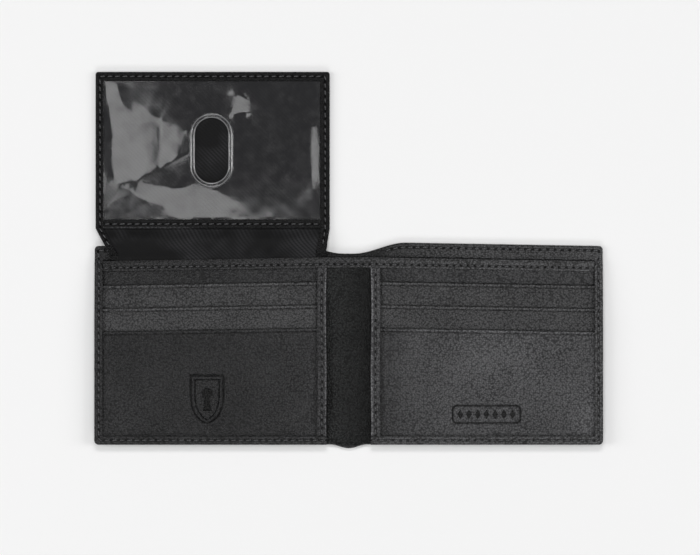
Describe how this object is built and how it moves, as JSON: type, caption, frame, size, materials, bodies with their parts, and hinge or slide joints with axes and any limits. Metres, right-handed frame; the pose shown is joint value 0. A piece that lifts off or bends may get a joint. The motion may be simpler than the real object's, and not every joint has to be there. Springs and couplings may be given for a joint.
{
  "type": "flip-up identity wing bifold wallet",
  "caption": "Black leather folding wallet opened flat, with card slots on both panels, a note compartment, and an identity wing with a clear window that flips up from one panel.",
  "frame": {"origin": "the middle of the spine, on the back of the outer shell, which is the face it lies on", "axes": "+X along the open width from the left panel to the right panel, +Y towards the note compartment's opening and the flipped-up wing, +Z out of the open face"},
  "size_m": [0.2268, 0.1681, 0.0052],
  "materials": {
    "shell_leather": "fine-grained black nappa leather with a satin finish",
    "pocket_leather": "thin black nappa leather, skived, with a satin finish",
    "twill_lining": "black woven twill lining",
    "black_thread": "bonded black sewing thread",
    "clear_film": "clear glossy vinyl film",
    "shield_foil": "thin metallised shielding sheet"
  },
  "bodies": {
    "spine": {"note_lining_back_spine": "twill_lining", "note_lining_front_spine": "twill_lining", "outer_shell_spine": "shell_leather", "spine_gusset": "shell_leather", "top_band_spine": "shell_leather", "top_band_spine_thread": "black_thread"},
    "left_panel": {"border_thread_left": "black_thread", "card_backing_left": "pocket_leather", "front_pocket_left": "pocket_leather", "gusset_edge_left": "shell_leather", "middle_slot_facing_left": "pocket_leather", "middle_slot_pocket_left": "twill_lining", "note_lining_back_left": "twill_lining", "note_lining_front_left": "twill_lining", "outer_shell_left": "shell_leather", "shield_foil_left": "shield_foil", "spine_edge_thread_left": "black_thread", "top_band_left": "shell_leather", "top_band_left_thread": "black_thread", "top_hem_thread_left": "black_thread", "top_slot_facing_left": "pocket_leather", "top_slot_pocket_left": "twill_lining", "wing_hinge_tab": "shell_leather"},
    "right_panel": {"border_thread_right": "black_thread", "card_backing_right": "pocket_leather", "front_pocket_right": "pocket_leather", "gusset_edge_right": "shell_leather", "middle_slot_facing_right": "pocket_leather", "middle_slot_pocket_right": "twill_lining", "note_lining_back_right": "twill_lining", "note_lining_front_right": "twill_lining", "outer_shell_right": "shell_leather", "shield_foil_right": "shield_foil", "spine_edge_thread_right": "black_thread", "top_band_right": "shell_leather", "top_band_right_thread": "black_thread", "top_hem_thread_right": "black_thread", "top_slot_facing_right": "pocket_leather", "top_slot_pocket_right": "twill_lining"},
    "wing": {"identity_window": "clear_film", "window_mouth_strip": "shell_leather", "window_mouth_thread": "black_thread", "wing_back": "shell_leather", "wing_border_thread": "black_thread", "wing_lining": "twill_lining"}
  },
  "joints": [
    {"name": "left_fold", "type": "hinge", "parent": "spine", "child": "left_panel", "pos_m": [-0.0056, 0, 0.0015], "axis": [0, 1, 0], "range_deg": [0, 90]},
    {"name": "right_fold", "type": "hinge", "parent": "spine", "child": "right_panel", "pos_m": [0.0056, 0, 0.0015], "axis": [0, -1, 0], "range_deg": [0, 90]},
    {"name": "wing_flip", "type": "hinge", "parent": "left_panel", "child": "wing", "pos_m": [-0.0583, 0.0396, 0.00402], "axis": [1, 0, 0], "range_deg": [0, 180]}
  ]
}
